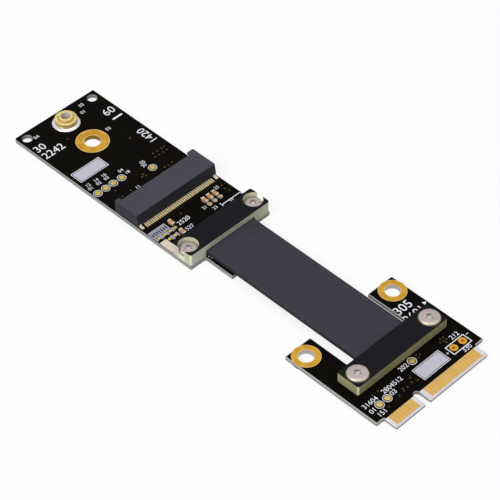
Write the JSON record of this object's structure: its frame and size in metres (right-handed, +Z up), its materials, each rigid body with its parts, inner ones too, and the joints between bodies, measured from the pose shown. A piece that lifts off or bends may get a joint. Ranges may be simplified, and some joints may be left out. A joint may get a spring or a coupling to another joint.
{
  "type": "mini pcie extension cable",
  "caption": "Flat ribbon extension between an M.2 card socket board and a half-length mini PCIe card edge, each end held by a screwed pressing plate.",
  "frame": {"origin": "middle of the footprint, on the underside of the two boards", "axes": "+X from the socket board's free end to the gold fingers, +Y across the boards, +Z up out of the component side"},
  "size_m": [0.1096, 0.03, 0.004],
  "materials": {
    "soldermask_black": "black solder mask on glass-epoxy board, grey-beige cut edges",
    "clamp_board": "satin black face, olive cut edges",
    "ribbon_jacket": "soft dark grey jacket",
    "screw_nickel": "nickel-plated pan head",
    "gold_plate": "gold-plated copper",
    "brass_turned": "turned brass, pale",
    "solder_tin": "bright tin solder",
    "contact_gold": "pale gold-plated spring contacts",
    "housing_plastic": "moulded heat-proof plastic",
    "ceramic_tan": "tan ceramic",
    "core_copper": "tinned copper conductors"
  },
  "bodies": {
    "root": {"socket_board": "soldermask_black", "edge_card": "soldermask_black", "ribbon_cable": "ribbon_jacket", "socket_clamp": "clamp_board", "edge_clamp": "clamp_board", "socket_clamp_screws": "screw_nickel", "edge_clamp_screws": "screw_nickel", "socket_end_cores": "core_copper", "card_end_cores": "core_copper", "standoff": "brass_turned", "standoff_solder_ring": "solder_tin", "near_mount_ring": "gold_plate", "socket_housing": "housing_plastic", "socket_upper_contacts": "contact_gold", "socket_lower_contacts": "contact_gold", "socket_hold_downs": "solder_tin", "card_mount_rings": "gold_plate", "edge_fingers_top": "gold_plate", "edge_fingers_bottom": "gold_plate", "header_lands": "gold_plate", "socket_test_pads": "gold_plate", "card_test_pads": "gold_plate", "solder_pads": "gold_plate", "capacitor_bodies": "ceramic_tan", "capacitor_ends": "solder_tin"}
  },
  "joints": []
}
